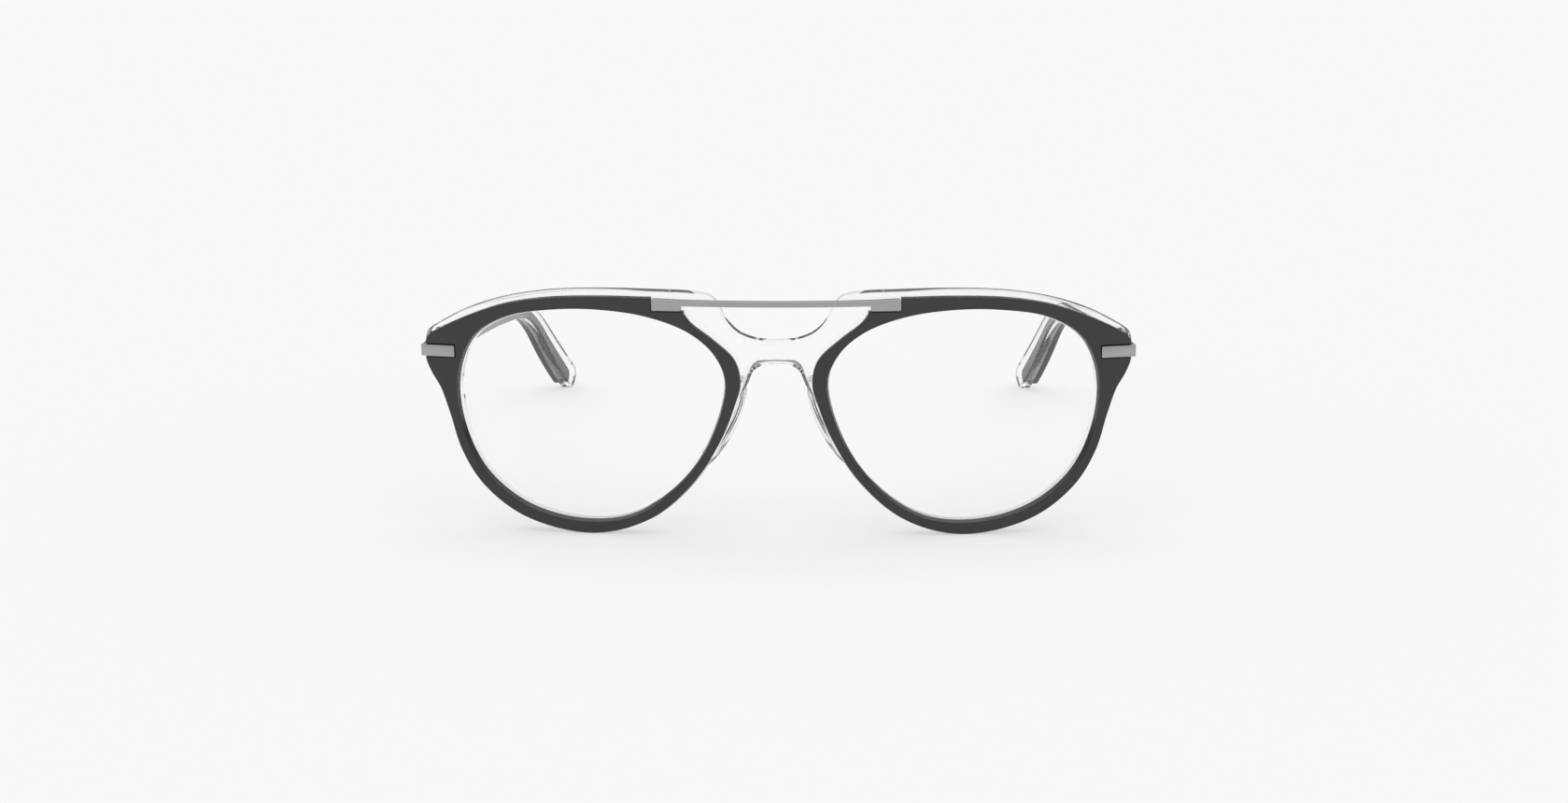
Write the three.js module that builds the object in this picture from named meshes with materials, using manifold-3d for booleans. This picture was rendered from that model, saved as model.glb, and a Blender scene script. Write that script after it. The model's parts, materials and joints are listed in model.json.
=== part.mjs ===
// Laminated aviator eyeglasses, a full-rim front of clear acetate with a dark
// acetate face on each rim, a metal brow bar, and two folding laminated arms.
//
// Millimetres. X runs across the face (+X is the wearer's left), Y runs back
// along the arms and Z is up. The front is drawn flat in X-Z with a depth
// behind its front face, then bent to its wrap and tilted to its lean. Every
// piece is placed as worn, with level arms. The last group sets the glasses
// down on a table, where the rims and the arm tips touch Z = 0.

import * as THREE from 'three';
import { TessellateModifier } from 'three/addons/modifiers/TessellateModifier.js';
import { mergeVertices } from 'three/addons/utils/BufferGeometryUtils.js';
import Module from 'manifold-3d';

const wasm = await Module();
wasm.setup();

// ---------------------------------------------------------------- dimensions

// The front
const WRAP_RADIUS = 380;          // how the front curves round the face
const LEAN = THREE.MathUtils.degToRad(9.5);   // front against the arms
const LEAN_Y = 8;                 // depth of the line it leans about
const LONGEST_EDGE = 12;          // of a facet that is bent to the wrap
const VENEER = 1.5;               // thickness of the dark face layer
const CRYSTAL_FRONT = 1.65;       // depth where the clear layer starts
const CRYSTAL_BACK = 4.2;         // depth where it ends
const FIT = 0.15;                 // gap round a piece set into another

// The lenses
const LENS_CENTRE = new THREE.Vector2(36.3, 24.3);
const LENS_DEPTH = 3.0;           // depth of the bevel's edge
const LENS_HALF = 1.0;            // half the lens thickness
const LENS_DOME = 0.7;            // how far its middle stands forward
const BEVEL_OUT = 0.7;            // bevel's edge beyond the opening
const GROOVE_CLEAR = 0.25;        // groove's clearance round the bevel

// The brow bar and the metal trims
const BAR_PROUD = 0.3;            // metal stands this far before the face
const BAR_BACK = 1.2;
const TAB_IN = 18.4;
const TAB_OUT = 24.1;
const TAB_LOW = 45.75;
const TAB_HIGH = 48.05;
const BAR_LOW = 46.75;
const BAR_HIGH = 47.8;
const BAR_SAG = 0.15;             // the bar's middle hangs this far lower
const TRIM_IN = 63.5;
const TRIM_LOW = 35.3;
const TRIM_HIGH = 37.6;
const TRIM_GROOVE = 0.25;         // open groove above and below the trim
const TRIM_BACK = 0.9;            // depth of the trim's inlaid plate
const TRIM_SIDE = 69.9;           // inner face of the part round the side
const TRIM_SHEET = 0.4;

// The nose pads
const PAD_X = 9.8;
const PAD_Y = 5.0;
const PAD_Z = 22.3;
const PAD_HALF_WIDTH = 2.1;
const PAD_HALF_DEPTH = 3.6;
const PAD_HALF_HEIGHT = 9.6;
const PAD_SLOPE = 0.43;           // x gained for each millimetre down
const PAD_TURN = 0.012;           // and by the square of the way from its middle

// The hinges, as worn
const HINGE_X = 63.8;
const HINGE_Y = 13.65;
const HINGE_Z = 37.5;
const SEAT_Y = 11.2;              // flat back of the endpiece
const PLATE = 0.9;                // thickness of the front leaf
const BARREL_RADIUS = 1.3;
const BARREL_END = 2.6;
const BARREL_SPLIT = 0.85;        // middle barrel to outer barrel
const PIN_RADIUS = 0.6;
const PIN_HOLE = 0.68;
const RIVET_RADIUS = 0.45;
const RIVET_HOLE = 0.57;
const RIVET_IN = 1.2;             // front rivets lie this far inboard of the axis

// The arms, as worn; s runs back from the hinge axis
const ARM_INNER = 65.4;           // inner face of the clear layer
const ARM_SPLIT = 67.5;           // where the clear layer ends
const ARM_OUTER = 69.3;           // outer face of the dark layer
const ARM_START = -2.15;
const BEND_START = 88;
const BEND_RADIUS = 47;
const BEND_ANGLE = THREE.MathUtils.degToRad(33);
const PADDLE_LENGTH = 22;         // straight run after the bend
const BOW_START = 20;             // the arm is straight up to here
const BOW = 4.9e-4;               // then x falls by this times the square of the run
const CURL_START = 90;            // from here the ear end curls in as well
const CURL = 1.75e-3;
const ARM_LONGEST_EDGE = 12;      // of a facet that is bent to the bow

// ------------------------------------------------------------------ outlines

const points = (pairs) => pairs.map(([x, z]) => new THREE.Vector2(x, z));

// Lens opening of the wearer's left rim, clockwise from the nasal side.
const OPENING = points([
  [10.2, 31.0], [12.2, 36.6], [17.0, 41.0], [25.0, 44.1], [34.5, 45.4],
  [44.0, 45.2], [53.1, 43.5], [59.5, 39.4], [62.8, 32.0], [62.4, 22.2],
  [58.2, 12.4], [50.2, 5.7], [39.5, 2.75], [28.9, 3.9], [19.9, 9.9],
  [13.8, 18.4],
]);

// Outer edge of the dark face of the same rim, with its lug at the hinge.
const VENEER_EDGE = points([
  [21.0, 48.0], [27.0, 48.25], [34.7, 48.3], [45.0, 47.8], [53.5, 46.3],
  [60.5, 43.8], [66.0, 41.2], [68.6, 39.6], [69.4, 38.2], [69.45, 34.9],
  [68.4, 32.0], [66.7, 29.0], [65.0, 23.8], [62.8, 16.2], [58.6, 9.2],
  [50.3, 2.9], [36.8, 0], [25.5, 3.1], [16.4, 11.0], [10.6, 20.4],
  [8.1, 26.9], [7.0, 31.0], [8.0, 35.6], [12.5, 40.0], [16.8, 43.4],
  [18.9, 46.6],
]);

// Half of the clear layer's edge, from the dip over the bridge, round the
// rim, to the arch of the bridge.
const CRYSTAL_HALF = points([
  [0, 39.4], [4.2, 39.75], [7.6, 41.2], [9.7, 43.5], [10.9, 46.0],
  [12.8, 48.2], [16.5, 48.95], [25.0, 49.25], [34.7, 49.3], [45.0, 48.75],
  [53.5, 47.3], [61.0, 44.9], [66.5, 42.1], [69.2, 40.2], [69.75, 38.5],
  [69.75, 34.8], [68.75, 31.9], [67.0, 28.9], [65.3, 23.6], [63.1, 16.0],
  [58.9, 9.0], [50.4, 2.6], [36.8, -0.3], [25.3, 2.8], [16.1, 10.8],
  [10.3, 20.3], [7.8, 26.7], [6.4, 29.4], [5.4, 31.4], [4.7, 33.2],
  [3.3, 34.4], [1.5, 34.8], [0, 34.85],
]);

// Closed smooth curve through the points, sampled into a loop.
function closedLoop(anchors, count) {
  const anchors3 = anchors.map((p) => new THREE.Vector3(p.x, p.y, 0));
  const curve = new THREE.CatmullRomCurve3(anchors3, true, 'centripetal');
  return curve.getPoints(count).slice(0, count).map((p) => new THREE.Vector2(p.x, p.y));
}

// Mirror-symmetric loop made from the half that starts and ends on X = 0.
function mirroredLoop(half) {
  const other = half.slice(1, -1).reverse().map((p) => new THREE.Vector2(-p.x, p.y));
  return [...half, ...other];
}

// The loop moved outwards by a distance, square to its edge.
function offsetLoop(loop, distance) {
  const turn = Math.sign(THREE.ShapeUtils.area(loop));
  return loop.map((p, i) => {
    const before = loop[(i + loop.length - 1) % loop.length];
    const after = loop[(i + 1) % loop.length];
    const along = after.clone().sub(before).normalize();
    return new THREE.Vector2(p.x + along.y * distance * turn, p.y - along.x * distance * turn);
  });
}

// ------------------------------------------------------------- solid helpers

// Flips a closed shell that faces inwards, and merges its shared vertices.
function closed(geometry) {
  const shell = geometry.index ? geometry.toNonIndexed() : geometry.clone();
  shell.deleteAttribute('normal');
  shell.deleteAttribute('uv');
  const position = shell.attributes.position;
  const [a, b, c] = [new THREE.Vector3(), new THREE.Vector3(), new THREE.Vector3()];
  let volume = 0;
  for (let i = 0; i < position.count; i += 3) {
    a.fromBufferAttribute(position, i);
    b.fromBufferAttribute(position, i + 1);
    c.fromBufferAttribute(position, i + 2);
    volume += a.dot(b.cross(c));
  }
  if (volume < 0) {
    for (let i = 0; i < position.count; i += 3) {
      a.fromBufferAttribute(position, i + 1);
      b.fromBufferAttribute(position, i + 2);
      position.setXYZ(i + 1, b.x, b.y, b.z);
      position.setXYZ(i + 2, a.x, a.y, a.z);
    }
  }
  return withoutSlivers(mergeVertices(shell, 1e-5));
}

// Drops the triangles that have shrunk to a line, as at the axis of a lathe.
function withoutSlivers(geometry) {
  const index = geometry.index.array;
  const kept = [];
  for (let i = 0; i < index.length; i += 3) {
    const [a, b, c] = [index[i], index[i + 1], index[i + 2]];
    if (a !== b && b !== c && c !== a) kept.push(a, b, c);
  }
  geometry.setIndex(kept);
  return geometry;
}

function solid(geometry) {
  const shell = closed(geometry);
  return new wasm.Manifold(new wasm.Mesh({
    numProp: 3,
    vertProperties: Float32Array.from(shell.attributes.position.array),
    triVerts: Uint32Array.from(shell.index.array),
  }));
}

function geometryOf(manifold) {
  const mesh = manifold.getMesh();
  const geometry = new THREE.BufferGeometry();
  geometry.setAttribute('position', new THREE.BufferAttribute(mesh.vertProperties, 3));
  geometry.setIndex(new THREE.BufferAttribute(mesh.triVerts, 1));
  return geometry;
}

// The first geometry with the others joined on and the last list cut away.
function build(base, added = [], removed = []) {
  let body = solid(base);
  for (const piece of added) body = body.add(solid(piece));
  for (const piece of removed) body = body.subtract(solid(piece));
  return geometryOf(body);
}

function moved(geometry, change) {
  const copy = geometry.clone();
  const position = copy.attributes.position;
  const p = new THREE.Vector3();
  for (let i = 0; i < position.count; i += 1) {
    p.fromBufferAttribute(position, i);
    change(p);
    position.setXYZ(i, p.x, p.y, p.z);
  }
  return copy;
}

function splitLongEdges(geometry, longest) {
  const loose = geometry.index ? geometry.toNonIndexed() : geometry;
  return new TessellateModifier(longest, 12).modify(loose);
}

const mirrored = (geometry) => closed(moved(geometry, (p) => { p.x = -p.x; }));

// A plate whose loops lie in X-Z and which fills the depths front to back.
function plate(loop, front, back, holes = []) {
  const turned = (path, clockwise) => (
    THREE.ShapeUtils.isClockWise(path) === clockwise ? path : path.slice().reverse());
  const shape = new THREE.Shape(turned(loop, false));
  shape.holes = holes.map((hole) => new THREE.Path(turned(hole, true)));
  const geometry = new THREE.ExtrudeGeometry(shape, { depth: back - front, bevelEnabled: false });
  return closed(geometry.rotateX(Math.PI / 2).translate(0, back, 0));
}

// A box between two corners.
function block(low, high) {
  const size = high.map((value, axis) => value - low[axis]);
  const centre = high.map((value, axis) => (value + low[axis]) / 2);
  return new THREE.BoxGeometry(...size).translate(...centre);
}

// A cylinder about the line through (x, y, z) along one axis, between two ends.
function rod(axis, radius, from, to, at, sides = 16) {
  const geometry = new THREE.CylinderGeometry(radius, radius, to - from, sides);
  geometry.translate(0, (from + to) / 2, 0);
  if (axis === 'x') geometry.rotateZ(-Math.PI / 2);
  if (axis === 'z') geometry.rotateX(Math.PI / 2);
  return geometry.translate(...at);
}

// Takes a piece of the flat front to its place as worn: wrap, then lean about
// the middle of the endpieces. Long edges are split first, so that they bend.
function worn(geometry) {
  return moved(splitLongEdges(geometry, LONGEST_EDGE), (p) => {
    const along = Math.sqrt(1 - (p.x / WRAP_RADIUS) ** 2);
    const depth = WRAP_RADIUS * (1 - along) + p.y * along - LEAN_Y;
    const height = p.z - HINGE_Z;
    p.x *= 1 - p.y / WRAP_RADIUS;
    p.y = LEAN_Y + depth * Math.cos(LEAN) - height * Math.sin(LEAN);
    p.z = HINGE_Z + depth * Math.sin(LEAN) + height * Math.cos(LEAN);
  });
}

// --------------------------------------------------------------- front pieces

const OPENING_LOOP = closedLoop(OPENING, 48);

// A solid of rings between the lens axis and its edge. Each ring gives how far
// out it lies (1 is the opening's edge), an offset beyond that, and a depth.
function lensRings(rings) {
  const count = OPENING_LOOP.length;
  const profile = rings.map((ring, k) => new THREE.Vector2(ring.out === 0 ? 0 : 1 + k, k));
  const lathe = new THREE.LatheGeometry(profile, count);
  const loops = rings.map((ring) => offsetLoop(OPENING_LOOP, ring.offset));
  return closed(moved(lathe, (p) => {
    const k = Math.round(p.y);
    const turn = Math.atan2(p.x, p.z) / (2 * Math.PI);
    const i = (Math.round(turn * count) + count) % count;
    const spot = LENS_CENTRE.clone().lerp(loops[k][i], rings[k].out);
    p.set(spot.x, rings[k].depth, spot.y);
  }));
}

function lens() {
  const dome = (out) => LENS_DEPTH - LENS_DOME * (1 - out * out);
  const steps = [0, 0.35, 0.7, 1];
  const face = (side) => steps.map((out) => (
    { out, offset: -FIT, depth: dome(out) + side * LENS_HALF }));
  const edge = { out: 1, offset: BEVEL_OUT, depth: LENS_DEPTH };
  return worn(lensRings([...face(-1), edge, ...face(1).reverse()]));
}

// The V-groove that holds the lens, with the opening itself.
function lensGroove() {
  const out = BEVEL_OUT + GROOVE_CLEAR;
  const half = (LENS_HALF * out) / (BEVEL_OUT + FIT);
  return lensRings([
    { out: 0, offset: 0, depth: LENS_DEPTH - half },
    { out: 1, offset: 0, depth: LENS_DEPTH - half },
    { out: 1, offset: out, depth: LENS_DEPTH },
    { out: 1, offset: 0, depth: LENS_DEPTH + half },
    { out: 0, offset: 0, depth: LENS_DEPTH + half },
  ]);
}

const TAB_MIDDLE = (TAB_IN + TAB_OUT) / 2;
const TAB_SCREW_Z = TAB_LOW + 0.7;
const TAB_SCREW_RADIUS = 0.42;
const TAB_SCREW_HOLE = 0.52;
const TAB_SCREW_HEAD = 0.8;

// Clear layer: both rims and the bridge in one piece, a groove round each
// opening, a flat seat behind each endpiece, and holes for what fastens on it.
function frontCrystal() {
  const half = new THREE.CatmullRomCurve3(
    CRYSTAL_HALF.map((p) => new THREE.Vector3(p.x, p.y, 0)), false, 'centripetal');
  const edge = mirroredLoop(half.getPoints(62).map((p) => new THREE.Vector2(p.x, p.y)));
  const otherOpening = OPENING_LOOP.map((p) => new THREE.Vector2(-p.x, p.y));
  const sheet = plate(edge, CRYSTAL_FRONT, CRYSTAL_BACK, [OPENING_LOOP, otherOpening]);
  const groove = lensGroove();
  const screw = rod('y', TAB_SCREW_HOLE, 0, CRYSTAL_BACK + 1, [TAB_MIDDLE, 0, TAB_SCREW_Z], 8);
  const cut = build(sheet, [], [groove, mirrored(groove), screw, mirrored(screw)]);
  const seat = endpieceSeat();
  const rivets = [-1, 1].map((side) => rod(
    'y', RIVET_HOLE, SEAT_Y - 1.5, SEAT_Y + 1, [HINGE_X - RIVET_IN, 0, HINGE_Z + side * 1.5], 8));
  const holes = [...rivets, ...rivets.map(mirrored)];
  return build(worn(cut), [seat, mirrored(seat)], holes);
}

// Thickening behind the endpiece, with a back square to the open arm.
function endpieceSeat() {
  const outline = points([
    [62.35, 34.7], [68.95, 34.7], [68.95, 38.4], [68.0, 39.7], [61.2, 39.7], [61.4, 37.5],
  ]);
  return plate(outline, SEAT_Y - 2.45, SEAT_Y);
}

// Dark face of one rim, with an open notch for the bar's tab and a shallow one
// for the metal trim.
function rimVeneer() {
  const sheet = plate(closedLoop(VENEER_EDGE, 78), 0, VENEER, [OPENING_LOOP]);
  const tab = block([TAB_IN - 9, -1, TAB_LOW - FIT], [TAB_OUT + FIT, VENEER + 1, TAB_HIGH + 2]);
  const trim = block(
    [TRIM_IN - FIT, -1, TRIM_LOW - TRIM_GROOVE],
    [TRIM_SIDE + 2, TRIM_BACK + FIT, TRIM_HIGH + TRIM_GROOVE]);
  return worn(build(sheet, [], [tab, trim]));
}

// Brow bar: a thin bar between two tabs let into the tops of the rims.
function browBar() {
  const half = points([
    [0, BAR_LOW - BAR_SAG], [TAB_IN, BAR_LOW], [TAB_IN, TAB_LOW], [TAB_OUT, TAB_LOW],
    [TAB_OUT, TAB_HIGH], [TAB_IN, BAR_HIGH], [0, BAR_HIGH - BAR_SAG],
  ]);
  const bar = plate(mirroredLoop(half), -BAR_PROUD, BAR_BACK);
  const at = [TAB_MIDDLE, 0, TAB_SCREW_Z];
  const hole = rod('y', TAB_SCREW_HOLE, BAR_BACK - 0.9, BAR_BACK + 1, at, 8);
  return worn(build(bar, [], [hole, mirrored(hole)]));
}

function browBarScrew() {
  const at = [TAB_MIDDLE, 0, TAB_SCREW_Z];
  const shank = rod('y', TAB_SCREW_RADIUS, BAR_BACK - 0.8, CRYSTAL_BACK + 0.3, at, 8);
  const head = rod('y', TAB_SCREW_HEAD, CRYSTAL_BACK + 0.15, CRYSTAL_BACK + 0.75, at, 16);
  return worn(build(shank, [head]));
}

// Endpiece trim: a sheet inlaid in the face and wrapped round the side.
function endpieceTrim() {
  const outer = TRIM_SIDE + TRIM_SHEET;
  const outline = [
    [TRIM_IN, -BAR_PROUD], [outer - 0.4, -BAR_PROUD], [outer, 0.1], [outer, CRYSTAL_BACK],
    [TRIM_SIDE, CRYSTAL_BACK], [TRIM_SIDE, TRIM_BACK], [TRIM_IN, TRIM_BACK],
  ];
  const shape = new THREE.Shape(points(outline));
  const height = TRIM_HIGH - TRIM_LOW;
  const sheet = new THREE.ExtrudeGeometry(shape, { depth: height, bevelEnabled: false });
  return worn(closed(sheet.translate(0, 0, TRIM_LOW)));
}

// Nose pad: a long drop of clear acetate behind the nasal side of the rim. Its
// middle line follows the rim, which turns away from the nose lower down.
function nosePad() {
  const drop = new THREE.SphereGeometry(1, 18, 14);
  drop.rotateX(Math.PI / 2).scale(PAD_HALF_WIDTH, PAD_HALF_DEPTH, PAD_HALF_HEIGHT);
  const placed = moved(drop, (p) => {
    p.x += PAD_X - PAD_SLOPE * p.z + PAD_TURN * p.z * p.z;
    p.y += PAD_Y;
    p.z += PAD_Z;
  });
  const front = block([-10, -10, 0], [30, CRYSTAL_BACK + FIT, 50]);
  return worn(build(placed, [], [front]));
}

// -------------------------------------------------------------------- hinges

const AXIS = [HINGE_X, HINGE_Y, HINGE_Z];
const PIN_BORE = rod('z', PIN_HOLE, -5, 5, AXIS);
const FRONT_RIVETS = [-1, 1].map((side) => [HINGE_X - RIVET_IN, 0, HINGE_Z + side * 1.5]);
const LEAF_OUT = ARM_INNER - FIT;
const LEAF_IN = LEAF_OUT - 0.8;
const ARM_RIVETS = [5.0, 9.5].map((s) => [0, HINGE_Y + s, HINGE_Z]);

// Front leaf: a plate on the endpiece's seat with two outer barrels.
function frontHinge() {
  const back = SEAT_Y + FIT + PLATE;
  const leaf = block(
    [HINGE_X - 2.2, SEAT_Y + FIT, HINGE_Z - 2.6], [HINGE_X + 1.35, back, HINGE_Z + 2.6]);
  const barrels = [-1, 1].flatMap((side) => {
    const [from, to] = [side * BARREL_SPLIT, side * BARREL_END].sort((a, b) => a - b);
    return [
      rod('z', BARREL_RADIUS, from, to, AXIS),
      block([HINGE_X - 0.8, back - 0.2, HINGE_Z + from], [HINGE_X + 0.8, HINGE_Y, HINGE_Z + to]),
    ];
  });
  const rivets = FRONT_RIVETS.map((at) => rod('y', RIVET_HOLE, SEAT_Y - 1, back + 0.05, at, 8));
  return build(leaf, barrels, [PIN_BORE, ...rivets]);
}

// Arm leaf: a strip on the arm's inner face with the middle barrel.
function armHinge() {
  const half = BARREL_SPLIT - 0.08;
  const barrel = rod('z', BARREL_RADIUS, -half, half, AXIS);
  const neck = block(
    [HINGE_X, HINGE_Y - 0.5, HINGE_Z - half], [LEAF_OUT, HINGE_Y + 2.2, HINGE_Z + half]);
  const leaf = block(
    [LEAF_IN, HINGE_Y + 1.6, HINGE_Z - 1.9], [LEAF_OUT, HINGE_Y + 12.5, HINGE_Z + 1.9]);
  const rivets = ARM_RIVETS.map((at) => rod('x', RIVET_HOLE, LEAF_IN - 1, LEAF_OUT + 1, at, 8));
  return build(barrel, [neck, leaf], [PIN_BORE, ...rivets]);
}

function hingeScrew() {
  const shank = rod('z', PIN_RADIUS, -BARREL_END - 0.1, BARREL_END + 0.3, AXIS);
  const head = rod('z', 1.05, BARREL_END + 0.1, BARREL_END + 0.65, AXIS);
  return build(shank, [head]);
}

function frontRivet(at) {
  return rod('y', RIVET_RADIUS, SEAT_Y - 1.3, SEAT_Y + FIT + PLATE, at, 8);
}

function armRivet(at) {
  return rod('x', RIVET_RADIUS, LEAF_IN, ARM_INNER + 1.4, at, 8);
}

// ---------------------------------------------------------------------- arms

// Point and direction of the arm's centre line, s along it from the hinge.
function armLine(s) {
  const arc = BEND_RADIUS * BEND_ANGLE;
  const turned = THREE.MathUtils.clamp((s - BEND_START) / arc, 0, 1) * BEND_ANGLE;
  const before = Math.min(s, BEND_START);
  const after = Math.max(s - BEND_START - arc, 0);
  return {
    y: before + BEND_RADIUS * Math.sin(turned) + after * Math.cos(turned),
    z: -BEND_RADIUS * (1 - Math.cos(turned)) - after * Math.sin(turned),
    turned,
  };
}

const ARM_END = BEND_START + BEND_RADIUS * BEND_ANGLE + PADDLE_LENGTH;

// Half the arm's height: tall at the hinge, slim before the ear, wide paddle.
function armHalfHeight(s) {
  const slim = THREE.MathUtils.smoothstep(s, 0, 70);
  const wide = THREE.MathUtils.smoothstep(s, BEND_START + 6, ARM_END - 5);
  return 3.0 - 1.05 * slim + 1.15 * wide;
}

const spaced = (start, end, steps) => Array.from(
  { length: steps + 1 }, (_, i) => start + ((end - start) * i) / steps);

// Side outline of an arm layer at the given distances back, set in from the
// arm's upper and lower edges.
function armOutline(stations, upperInset, lowerInset) {
  const edge = (side, inset) => stations.map((s) => {
    const line = armLine(s);
    const reach = side * (armHalfHeight(s) - inset(s));
    return new THREE.Vector2(
      line.y + reach * Math.sin(line.turned), line.z + reach * Math.cos(line.turned));
  });
  const top = edge(1, upperInset);
  const bottom = edge(-1, lowerInset).reverse();
  return { top, bottom, turned: armLine(stations.at(-1)).turned };
}

// Closes the outline with a round end between its last upper and lower points.
function roundEnd(outline, bulge) {
  const from = outline.top.at(-1);
  const to = outline.bottom[0];
  const middle = from.clone().add(to).multiplyScalar(0.5);
  const radius = from.distanceTo(to) / 2;
  const cap = Array.from({ length: 7 }, (_, i) => {
    const angle = Math.PI / 2 - (Math.PI * (i + 1)) / 8;
    const along = radius * bulge * Math.cos(angle);
    const up = radius * Math.sin(angle);
    const c = Math.cos(outline.turned);
    const s = Math.sin(outline.turned);
    return new THREE.Vector2(middle.x + along * c + up * s, middle.y - along * s + up * c);
  });
  return [...outline.top, ...cap, ...outline.bottom];
}

// A layer of the arm between two distances from the middle of the face.
function armLayer(loop, inner, outer) {
  const shape = new THREE.Shape(loop);
  const geometry = new THREE.ExtrudeGeometry(
    shape, { depth: outer - inner, bevelEnabled: false });
  return closed(moved(geometry, (p) => {
    p.set(inner + p.z, HINGE_Y + p.x, HINGE_Z + p.y);
  }));
}

// The arm's inward bow and the curl of its ear end.
function bowed(geometry) {
  return moved(splitLongEdges(geometry, ARM_LONGEST_EDGE), (p) => {
    const run = Math.max(p.y - HINGE_Y - BOW_START, 0);
    const curl = Math.max(p.y - HINGE_Y - CURL_START, 0);
    p.x -= BOW * run * run + CURL * curl * curl;
  });
}

const none = () => 0;

function armCrystal() {
  const body = armLayer(
    roundEnd(armOutline(spaced(ARM_START, ARM_END, 22), none, none), 0.9), ARM_INNER, ARM_SPLIT);
  const rivets = ARM_RIVETS.map((at) => rod('x', RIVET_HOLE, 60, ARM_INNER + 1.55, at, 8));
  return bowed(build(body, [], rivets));
}

function armVeneer() {
  const upper = (s) => 0.9 + 1.1 * THREE.MathUtils.smoothstep(s, 60, ARM_END);
  const lower = () => 0.3;
  const loop = roundEnd(armOutline(spaced(ARM_START, ARM_END - 1.5, 22), upper, lower), 0.9);
  return bowed(armLayer(loop, ARM_SPLIT + FIT, ARM_OUTER));
}

// ------------------------------------------------------------------ materials

const material = (color, roughness, metalness, extra = {}) => new THREE.MeshStandardMaterial({
  color, roughness, metalness, ...extra,
});
const clearAcetate = () => material(
  0xe9ecee, 0.12, 0, { transparent: true, opacity: 0.45 });
const darkAcetate = () => material(0x232226, 0.3, 0);
const lensGlass = () => material(0xf2f5f6, 0.05, 0, { transparent: true, opacity: 0.15 });
const satinMetal = () => material(0x9c9da1, 0.35, 0.9);
const hingeMetal = () => material(0xb9babd, 0.3, 0.95);

// ------------------------------------------------------------------- assembly

const wornGlasses = new THREE.Group();

function add(name, geometry, surface) {
  const mesh = new THREE.Mesh(closed(geometry), surface);
  mesh.name = name;
  wornGlasses.add(mesh);
  return mesh;
}

// Adds the left piece as made and its mirror image on the right.
function addPair(name, geometry, surface) {
  return [
    add(`${name}_left`, geometry, surface()),
    add(`${name}_right`, mirrored(geometry), surface()),
  ];
}

const crystal = add('front_crystal', frontCrystal(), clearAcetate());
add('brow_bar', browBar(), satinMetal());
addPair('rim_veneer', rimVeneer(), darkAcetate);
addPair('lens', lens(), lensGlass);
addPair('nose_pad', nosePad(), clearAcetate);
addPair('brow_bar_screw', browBarScrew(), hingeMetal);
addPair('endpiece_trim', endpieceTrim(), satinMetal);
addPair('front_hinge', frontHinge(), hingeMetal);
addPair('hinge_screw', hingeScrew(), hingeMetal);
addPair('front_rivet_lower', frontRivet(FRONT_RIVETS[0]), hingeMetal);
addPair('front_rivet_upper', frontRivet(FRONT_RIVETS[1]), hingeMetal);
const [armLeft] = addPair('temple_crystal', armCrystal(), clearAcetate);
addPair('temple_veneer', armVeneer(), darkAcetate);
addPair('temple_hinge', armHinge(), hingeMetal);
addPair('temple_rivet_front', armRivet(ARM_RIVETS[0]), hingeMetal);
addPair('temple_rivet_rear', armRivet(ARM_RIVETS[1]), hingeMetal);

// Lowest height of a mesh once the glasses are tipped back by an angle.
function lowest(mesh, tip) {
  const position = mesh.geometry.attributes.position;
  let low = Infinity;
  for (let i = 0; i < position.count; i += 1) {
    low = Math.min(low, position.getZ(i) * Math.cos(tip) - position.getY(i) * Math.sin(tip));
  }
  return low;
}

// The tip angle at which the rims and the arm ends touch the same table.
function restAngle() {
  let [low, high] = [0, 0.3];
  for (let i = 0; i < 40; i += 1) {
    const tip = (low + high) / 2;
    if (lowest(armLeft, tip) > lowest(crystal, tip)) low = tip;
    else high = tip;
  }
  return (low + high) / 2;
}

// On the table, with the footprint centred front to back.
const tip = restAngle();
wornGlasses.rotation.x = -tip;
wornGlasses.position.z = -lowest(crystal, tip);
wornGlasses.updateMatrixWorld(true);
const span = new THREE.Box3().setFromObject(wornGlasses);
wornGlasses.position.y = -(span.min.y + span.max.y) / 2;

const glasses = new THREE.Group();
glasses.add(wornGlasses);

export default glasses;
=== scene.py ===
import json
import math

import bmesh
import bpy
import numpy as np
from mathutils import Matrix, Vector, geometry


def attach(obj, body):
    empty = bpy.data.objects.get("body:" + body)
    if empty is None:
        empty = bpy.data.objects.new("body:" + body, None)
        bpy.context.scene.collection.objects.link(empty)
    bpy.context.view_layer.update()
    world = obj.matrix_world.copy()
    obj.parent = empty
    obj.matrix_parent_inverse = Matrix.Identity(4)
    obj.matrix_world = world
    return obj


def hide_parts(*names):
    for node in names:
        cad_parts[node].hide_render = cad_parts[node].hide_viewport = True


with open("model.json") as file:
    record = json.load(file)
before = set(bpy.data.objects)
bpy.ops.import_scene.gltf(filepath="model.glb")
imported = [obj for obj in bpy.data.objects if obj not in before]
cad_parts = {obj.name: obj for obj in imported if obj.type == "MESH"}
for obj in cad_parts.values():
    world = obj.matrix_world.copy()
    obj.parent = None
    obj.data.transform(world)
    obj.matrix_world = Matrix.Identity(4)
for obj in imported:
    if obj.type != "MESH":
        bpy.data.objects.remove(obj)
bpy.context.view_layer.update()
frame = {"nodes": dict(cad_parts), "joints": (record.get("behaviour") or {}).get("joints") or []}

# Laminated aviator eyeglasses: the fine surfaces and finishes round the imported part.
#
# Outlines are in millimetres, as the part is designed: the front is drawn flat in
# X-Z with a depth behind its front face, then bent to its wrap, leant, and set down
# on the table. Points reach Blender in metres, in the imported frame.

# ------------------------------------------------------------------ dimensions

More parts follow.
